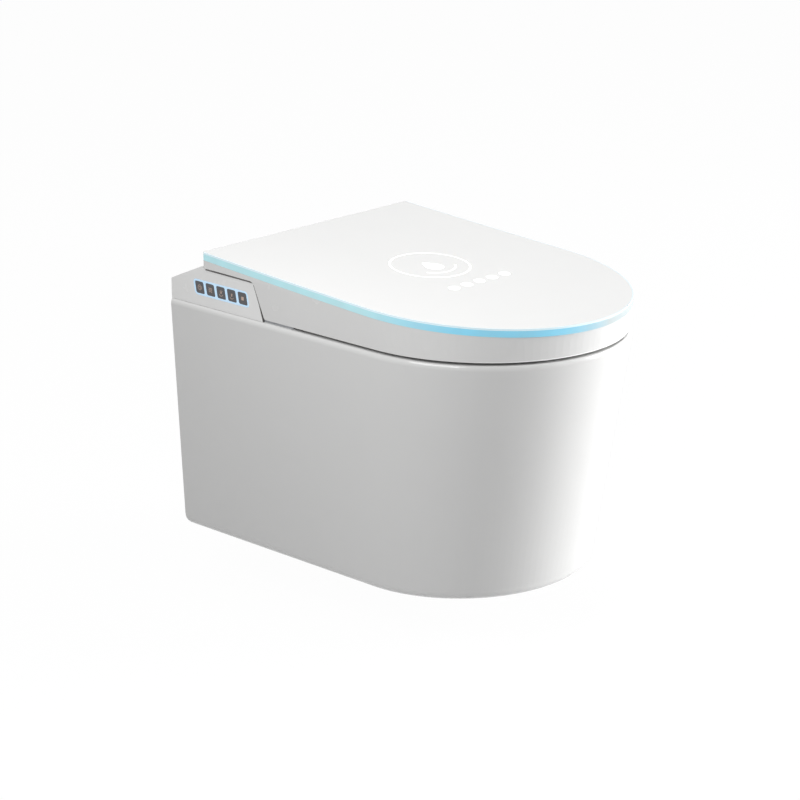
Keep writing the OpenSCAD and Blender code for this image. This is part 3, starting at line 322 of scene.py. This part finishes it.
def cover_shell(name, colour):
    """The unit's cover, with shade painted as a dark stripe where the lid's edge meets it."""
    made = shell(name, colour)
    x, y, z = (axis * (1 / MM) for axis in made.axes())
    lean = math.radians(COVER_LEAN)
    behind = y + COVER_CORNER_Y
    height = z - COVER_CORNER_Z
    top = height - behind * COVER_FALL
    front = height * math.sin(lean) - behind * math.cos(lean)
    gap = top - front
    reach = (top + front + (gap * gap + SEAM_SHADE_TURN).joined("SQRT")) * 0.5
    along_top = reach > COVER_ROUND - SEAM_SHADE_WIDTH
    widened = front + (z - SEAM_SHADE_FRONT_Z) * SEAM_SHADE_WIDENING
    along_front = (widened > COVER_ROUND - SEAM_SHADE_FRONT_WIDTH) * (z < COVER_CORNER_Z + 3)
    # Painted shade: a dark grey stripe in the seam, standing in for the shadow in the gap
    # under the lid's edge.
    seam_shade = along_top.joined("MAXIMUM", along_front) * (abs(x) > COVER_HALF - SEAM_SHADE_REACH)
    seam_shade = seam_shade * (y < -LID_BACK - 1)
    made.set("Base Color", made.blended(seam_shade, drifting(made, colour), linear(96, 94, 92)))
    return made


def gloss_panel(name, colour, rim_glow):
    """The lid's top panel, whose outer edge is painted with the light of the band below as a
    glow.
    """
    made = Finish(name, colour, 0.14, Coat_Weight=0.5, Coat_Roughness=0.04,
                  Emission_Strength=0.15)
    # Painted glow: the panel's outer edge glows in the band's colour, though the panel is no
    # lamp.
    mask = edge_of_lid(made, 0.6, 2.2)
    white = made.blended(made.noise(7), toned(colour, 0.975), toned(colour, 1.01))
    made.set("Base Color", made.blended(mask, white, rim_glow))
    made.set("Emission Color", made.blended(mask, linear(0, 0, 0), rim_glow))
    made.set("Roughness", made.noise(22) * 0.08 + 0.1)
    return made.bump(made.noise(700, 2.0), 0.5, 0.00001)


def glowing(name, colour, strength, base):
    made = Finish(name, base, 0.3, Emission_Strength=strength)
    made.set("Emission Color", made.blended(made.noise(180), toned(colour, 0.94), colour))
    return made.bump(made.noise(900), 0.2, 0.00002)


def laminate(name, colour):
    """A circuit board: solder mask over tracks, with bright pads."""
    made = Finish(name, colour, 0.35)
    x, y, _ = made.axes()
    across = (x + y + made.noise(40, 0.0) * 0.006).repeated(0.0022) > 0.0016
    pads = made.cells(170) < 0.16
    tracks = made.blended(across, colour, toned(colour, 1.9))
    made.set("Base Color", made.blended(pads, tracks, linear(196, 186, 158)))
    made.set("Metallic", pads * 0.8)
    return made.bump(across + pads, 0.4, 0.00004)


def heating_foil(name):
    made = Finish(name, linear(196, 196, 198), 0.35, Metallic=0.9)
    x, y, _ = made.axes()
    wire = abs((x * 210).wave() * 0.006 + y.repeated(0.009) - 0.0045) < 0.0009
    made.set("Base Color", made.blended(wire, linear(196, 196, 198), linear(176, 96, 52)))
    return made.bump(made.noise(420) + wire, 0.5, 0.0001)


def granular(name, colour):
    made = Finish(name, colour, 0.85)
    grains = made.cells(520)
    made.set("Base Color", made.blended(grains, toned(colour, 0.5), toned(colour, 2.2)))
    return made.bump(grains, 0.9, 0.0004)


def layered(name, colour):
    """Mica sheet with a thin heating wire."""
    made = Finish(name, colour, 0.5)
    _, y, z = made.axes()
    wire = (y + z).repeated(0.0016) < 0.00035
    made.set("Base Color", made.blended(wire, made.blended(
        made.noise(90), toned(colour, 0.75), toned(colour, 1.2)), linear(150, 150, 152)))
    made.set("Metallic", wire * 0.9)
    return made.bump(made.noise(300), 0.4, 0.00005)


# The lid's and the seat's whites are the shell's white painted darker as shade; lid, seat and
# cover are one plastic.
WHITE_GLAZE = linear(218, 218, 217)
WHITE_SHELL = linear(236, 236, 235)
SHADED_LID_WHITE = linear(222, 222, 221)
SHADED_SEAT_WHITE = linear(214, 214, 213)
WHITE_PANEL = linear(245, 245, 244)

finishes = {
    "glaze": glazed("white_glaze", WHITE_GLAZE),
    "shell": shell("white_shell", WHITE_SHELL),
    "cover": cover_shell("cover_shell", WHITE_SHELL),
    "seat": shell("seat_shell", SHADED_SEAT_WHITE),
    "lid": lid_shell("lid_shell", SHADED_LID_WHITE),
    "panel": gloss_panel("gloss_panel", WHITE_PANEL, linear(218, 238, 246)),
    "light": lit("lit_edge", linear(171, 217, 224), linear(126, 203, 230),
                 linear(178, 189, 191), 0.3),
    "button": moulded("button_cap", linear(84, 84, 87), 0.34),
    "grey_plastic": moulded("grey_plastic", linear(176, 178, 182), 0.5),
    "dark_plastic": moulded("dark_plastic", linear(38, 38, 40), 0.5),
    "ivory_plastic": moulded("ivory_plastic", linear(222, 214, 192), 0.42),
    "steel": brushed("brushed_steel", linear(188, 190, 193), (4, 900, 900)),
    "motor_can": brushed("motor_can", linear(150, 152, 156), (700, 700, 12), 0.4),
    "brass": brushed("machined_brass", linear(196, 164, 96), (900, 12, 900), 0.28),
    "rubber": rubbery("pale_rubber", linear(192, 192, 194)),
    "black_rubber": rubbery("black_rubber", linear(34, 34, 35)),
    "foil": heating_foil("heating_foil"),
    "led": moulded("light_strip", linear(224, 218, 168), 0.4),
    "board": laminate("circuit_board", linear(24, 92, 52)),
    "mica": layered("mica_sheet", linear(156, 130, 92)),
    "carbon": granular("carbon_grains", linear(30, 30, 31)),
    "tank": moulded("tank_plastic", linear(186, 198, 210), 0.35),
    "supply_case": brushed("supply_case", linear(176, 178, 180), (14, 500, 500), 0.42),
}
frame_glow = glowing("frame_glow", linear(172, 212, 245), 0.34, linear(194, 219, 238))
icon_glow = glowing("icon_glow", linear(180, 150, 134), 0.22, linear(176, 156, 144))
display_glow = glowing("display_glow", linear(255, 255, 255), 0.42, linear(250, 250, 251))


# Pieces


def set_material(obj, material):
    obj.data.materials.clear()
    obj.data.materials.append(material)


def smooth_with_creases(mesh, crease):
    for face in mesh.faces:
        face.smooth = True
    for edge in mesh.edges:
        if len(edge.link_faces) == 2:
            edge.smooth = edge.calc_face_angle(0) < math.radians(crease)


def finished(mesh, name, body, material, stands_for=(), crease=32, rounding=0.0):
    """Turns a bmesh into a piece that rides on a body, with rounded edges."""
    smooth_with_creases(mesh, crease)
    data = bpy.data.meshes.new(name)
    mesh.to_mesh(data)
    mesh.free()
    piece = bpy.data.objects.new(name, data)
    bpy.context.scene.collection.objects.link(piece)
    set_material(piece, material)
    if rounding:
        bevel = piece.modifiers.new("rounding", "BEVEL")
        bevel.width = rounding * MM
        bevel.segments = 3
        bevel.limit_method = "ANGLE"
        bevel.angle_limit = math.radians(crease)
        bevel.miter_outer = "MITER_ARC"
    weights = piece.modifiers.new("normals", "WEIGHTED_NORMAL")
    weights.keep_sharp = not rounding
    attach(piece, body)
    if stands_for:
        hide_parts(*stands_for)
    return piece


def body_of(node):
    bodies = frame["record"]["behaviour"]["bodies"]
    return next(body for body, nodes in bodies.items() if node in nodes)


slot_of = {row["node"]: row["material_slot"] for row in frame["record"]["subparts"]}


def refined(node, name, material=None, crease=32, rounding=0.0, change=None):
    """A merged copy of a CAD node with even shading and rounded edges."""
    mesh = bmesh.new()
    mesh.from_mesh(frame["nodes"][node].data)
    bmesh.ops.remove_doubles(mesh, verts=mesh.verts, dist=0.002 * MM)
    if change:
        change(mesh)
    slot = slot_of[node]
    material = material or finishes[slot].material
    return finished(mesh, name, body_of(node), material, [node], crease, rounding)


def round_rear_foot(mesh):
    """Rounds the lower edge of the pan's wall side, as its other lower edges are."""
    r = REAR_ROUND * MM
    start = FOOT_Z * MM + r
    for step in range(1, 7):
        level = start - r * math.cos(math.radians(15 * step))
        bmesh.ops.bisect_plane(mesh, geom=mesh.verts[:] + mesh.edges[:] + mesh.faces[:],
                               dist=0.001 * MM, plane_co=(0, 0, level), plane_no=(0, 0, 1))
    for vert in mesh.verts:
        drop = start - vert.co.z
        if vert.co.y > -0.01 * MM and drop > 0:
            vert.co.y = math.sqrt(max(0, r * r - drop * drop)) - r


def soften_rim(mesh):
    """Draws the rounding of the pan's upper edge down to twice its height."""
    for vert in mesh.verts:
        x, y, z = (c / MM for c in vert.co)
        forward = max(0, (-y - PAN_STRAIGHT) / (PAN_FRONT - PAN_STRAIGHT))
        outer = math.hypot(x / PAN_HALF, forward) > 0.9
        if outer and z > RIM_Z - RIM_ROUND - 0.01:
            vert.co.z = (RIM_Z - 2 * (RIM_Z - z)) * MM


def shape_pan(mesh):
    round_rear_foot(mesh)
    soften_rim(mesh)


def lid_top(y):
    """Height of the lit edge's top, y millimetres from the wall."""
    k = 1 - y / LID_FRONT
    return LID_FOOT_Z + LID_FRONT_H + LID_RISE * k + LID_CURVE * k * k


def ribbon(mesh, path, width):
    """A flat strip along a path of (u, v) points."""
    count = len(path)
    made = bmesh.ops.create_grid(mesh, x_segments=count - 1, y_segments=1, size=0.5)["verts"]
    rows = sorted(made, key=lambda v: (round(v.co.x, 5), v.co.y))
    for i, (u, v) in enumerate(path):
        before, after = path[max(i - 1, 0)], path[min(i + 1, count - 1)]
        if path[0] == path[-1] and i in (0, count - 1):
            before, after = path[-2], path[1]
        along = Vector((after[0] - before[0], after[1] - before[1])).normalized()
        side = Vector((-along.y, along.x)) * width / 2
        rows[2 * i].co = (u - side.x, v - side.y, 0)
        rows[2 * i + 1].co = (u + side.x, v + side.y, 0)


def arc(cu, cv, radius, start, end, steps=24):
    angles = [math.radians(start + (end - start) * i / steps) for i in range(steps + 1)]
    path = [(cu + radius * math.cos(a), cv + radius * math.sin(a)) for a in angles]
    if abs(end - start) == 360:
        path[-1] = path[0]
    return path


def disc(mesh, cu, cv, radius, segments):
    made = bmesh.ops.create_circle(mesh, cap_ends=True, segments=segments, radius=radius)
    bmesh.ops.translate(mesh, verts=made["verts"], vec=(cu, cv, 0))
    return made["verts"]


def drop(mesh, cu, cv, radius):
    """A disc drawn out to a point at its top."""
    for vert in disc(mesh, cu, cv, radius, 40):
        up = (vert.co.y - cv) / radius
        if up > 0:
            vert.co.x = cu + (vert.co.x - cu) * (1 - up) ** 0.55 * (1 + 0.25 * up)
            vert.co.y = cv + (vert.co.y - cv) * 1.75


def thickened(mesh, thickness):
    bmesh.ops.remove_doubles(mesh, verts=mesh.verts, dist=0.01)
    bmesh.ops.recalc_face_normals(mesh, faces=mesh.faces)
    for face in mesh.faces:
        if face.normal.z < 0:
            face.normal_flip()
    grown = bmesh.ops.extrude_face_region(mesh, geom=mesh.faces[:])
    raised = [g for g in grown["geom"] if isinstance(g, bmesh.types.BMVert)]
    bmesh.ops.translate(mesh, verts=raised, vec=(0, 0, thickness))
    bmesh.ops.recalc_face_normals(mesh, faces=mesh.faces)


def wash_icon(mesh, spread):
    ribbon(mesh, arc(0, -1.2, 4.4, 200, 340), SIGN_LINE)
    for i in (-1, 0, 1):
        ribbon(mesh, [(i * 0.5, -1.5), (i * spread, 3.4)], SIGN_LINE)


def rear_wash_icon(mesh):
    wash_icon(mesh, 1.3)


def front_wash_icon(mesh):
    wash_icon(mesh, 2.9)
    disc(mesh, 0, 4.6, 0.6, 16)


def stop_icon(mesh):
    made = bmesh.ops.create_grid(mesh, x_segments=1, y_segments=1, size=2.9)
    bmesh.ops.bevel(mesh, geom=made["verts"], offset=0.8, segments=4, profile=0.5,
                    affect="VERTICES", material=-1)


def dryer_icon(mesh):
    for row in (-2.8, 0, 2.8):
        wave = [(u / 2, row + 0.8 * math.sin(u * 0.75)) for u in range(-8, 9)]
        ribbon(mesh, wave, SIGN_LINE)


def flush_icon(mesh):
    ribbon(mesh, arc(0, 0, 4.3, 60, 400), SIGN_LINE)
    ribbon(mesh, arc(0, 0, 1.9, 240, 560), SIGN_LINE)


icons = {
    "stop_button": (2, stop_icon),
    "rear_wash_button": (1, rear_wash_icon),
    "front_wash_button": (0, front_wash_icon),
    "dryer_button": (-1, dryer_icon),
    "flush_button": (-2, flush_icon),
}


def button_icon(button, index, draw):
    """A pale sign let into the face of a button on the unit's left side."""
    mesh = bmesh.new()
    draw(mesh)
    thickened(mesh, SIGN_T)
    bmesh.ops.scale(mesh, verts=mesh.verts, vec=(SIGN_SCALE, SIGN_SCALE, 1))
    outward = Matrix(((0, 0, -1, 0), (-1, 0, 0, 0), (0, 1, 0, 0), (0, 0, 0, 1)))
    bmesh.ops.transform(mesh, matrix=outward, verts=mesh.verts)
    middle = (CAP_X + SIGN_PROUD, -(BUTTON_Y + index * BUTTON_PITCH), BUTTON_Z)
    bmesh.ops.translate(mesh, verts=mesh.verts, vec=middle)
    bmesh.ops.scale(mesh, verts=mesh.verts, vec=(MM, MM, MM))
    return finished(mesh, button + "_sign", button + "_body", icon_glow.material)


def display_mark(name, draw):
    """A lit mark that lies in the lid's curved top."""
    mesh = bmesh.new()
    draw(mesh)
    thickened(mesh, MARK_T)
    for vert in mesh.verts:
        vert.co.z += lid_top(-vert.co.y) + PANEL_T - MARK_SUNK
    bmesh.ops.scale(mesh, verts=mesh.verts, vec=(MM, MM, MM))
    return finished(mesh, name, "lid", display_glow.material)


def display_ring(mesh):
    ribbon(mesh, arc(0, -RING_Y, RING_R - RING_LINE / 2, 0, 360, 96), RING_LINE)
    drop(mesh, 0, -RING_Y - RING_DROP_SHIFT, RING_DROP_R)
    ribbon(mesh, arc(0, -RING_Y, RING_ARC_R, 215, 325, 32), RING_LINE)


def display_dots(mesh):
    for i in range(-2, 3):
        disc(mesh, i * DOTS_PITCH, -DOTS_Y, DOT_R, 40)


refined("ceramic_pan", "pan_china", crease=40, change=shape_pan)
refined("housing_cover", "unit_cover", finishes["cover"].material, rounding=0.45)
refined("seat_top", "seat_ring", finishes["seat"].material, crease=40)
refined("seat_base", "seat_underside", finishes["seat"].material, rounding=0.5)
refined("lid_frame", "lid_skirt", finishes["lid"].material, rounding=0.5)
refined("lid_inner_panel", "lid_lining", finishes["seat"].material, rounding=0.5)
refined("lid_light_guide", "lid_lit_edge", rounding=0.4)
refined("lid_top_panel", "lid_cover_panel", rounding=1.15)
refined("button_frame", "button_surround", frame_glow.material, rounding=0.35)
refined("chassis", "unit_base", rounding=0.4)
refined("dryer_flap", "outlet_shutter", rounding=0.4)
refined("hinge_posts", "hinge_brackets", rounding=0.5)
refined("rear_nozzle", "rear_wash_nozzle", rounding=0.3)
refined("front_nozzle", "front_wash_nozzle", rounding=0.3)
for button, (index, draw) in icons.items():
    refined(button, button + "_cap", rounding=0.5)
    button_icon(button, index, draw)
display_mark("display_ring", display_ring)
display_mark("display_dots", display_dots)

for node, obj in frame["nodes"].items():
    set_material(obj, finishes[slot_of[node]].material)


# Studio


def area_light(name, where, target, size, power):
    data = bpy.data.lights.new(name, "AREA")
    data.shape = "RECTANGLE"
    data.size, data.size_y = size
    data.energy = power
    lamp = bpy.data.objects.new(name, data)
    lamp.location = where
    lamp.rotation_euler = (Vector(target) - Vector(where)).to_track_quat("-Z", "Y").to_euler()
    bpy.context.scene.collection.objects.link(lamp)
    return lamp


def seen_directly(tree):
    """1 for rays that show the surroundings to the camera, straight or in a gloss."""
    path = tree.nodes.new("ShaderNodeLightPath")
    camera, gloss, glass = (Value(tree, path.outputs["Is %s Ray" % kind])
                            for kind in ("Camera", "Glossy", "Transmission"))
    return camera + gloss + glass


def floor_material():
    """A pale floor that the camera sees as almost white, with the object's shadow on it."""
    material = bpy.data.materials.new("studio_floor")
    material.use_nodes = True
    tree = material.node_tree
    tree.nodes.clear()
    output = tree.nodes.new("ShaderNodeOutputMaterial")
    matte = tree.nodes.new("ShaderNodeBsdfDiffuse")
    matte.inputs["Color"].default_value = linear(205, 205, 206)
    glow = tree.nodes.new("ShaderNodeEmission")
    glow.inputs["Color"].default_value = (1, 1, 1, 1)
    glow.inputs["Strength"].default_value = FLOOR_GLOW
    mix = tree.nodes.new("ShaderNodeMixShader")
    tree.links.new((seen_directly(tree) * FLOOR_GLOW_SHARE).socket, mix.inputs[0])
    tree.links.new(matte.outputs[0], mix.inputs[1])
    tree.links.new(glow.outputs[0], mix.inputs[2])
    tree.links.new(mix.outputs[0], output.inputs["Surface"])
    return material


def floor():
    mesh = bmesh.new()
    bmesh.ops.create_grid(mesh, x_segments=8, y_segments=8, size=FLOOR_SIZE)
    bmesh.ops.translate(mesh, verts=mesh.verts, vec=(0, 0, FLOOR_Z))
    data = bpy.data.meshes.new("studio_floor")
    mesh.to_mesh(data)
    mesh.free()
    plane = bpy.data.objects.new("studio_floor", data)
    bpy.context.scene.collection.objects.link(plane)
    set_material(plane, floor_material())


def white_surroundings():
    """A world that the camera sees as white and that lights the object softly."""
    world = bpy.data.worlds.new("studio")
    bpy.context.scene.world = world
    world.use_nodes = True
    tree = world.node_tree
    background = tree.nodes["Background"]
    background.inputs["Color"].default_value = (1, 1, 1, 1)
    tree.links.new((seen_directly(tree) * (1 - AMBIENT) + AMBIENT).socket,
                   background.inputs["Strength"])


def photo_camera():
    data = bpy.data.cameras.new("photo_camera")
    data.lens = CAMERA_LENS
    data.sensor_width = CAMERA_SENSOR
    camera = bpy.data.objects.new("photo_camera", data)
    azimuth, elevation = math.radians(CAMERA_AZIMUTH), math.radians(CAMERA_ELEVATION)
    forward = Vector((-math.sin(azimuth) * math.cos(elevation),
                      math.cos(azimuth) * math.cos(elevation), -math.sin(elevation)))
    camera.location = CAMERA_PLACE
    camera.rotation_euler = forward.to_track_quat("-Z", "Y").to_euler()
    bpy.context.scene.collection.objects.link(camera)
    bpy.context.scene.camera = camera


floor()
white_surroundings()
photo_camera()
area_light("key_right", (2.6, -2.4, 0.5), MIDDLE, (1.8, 1.4), 167)
area_light("overhead", (0.2, -0.2, 2.4), MIDDLE, (2.4, 2.4), 15.5)
area_light("fill_left", (-0.95, -0.48, 0.7), MIDDLE, (0.7, 0.6), 5.6)
bpy.context.scene.view_settings.view_transform = "Standard"
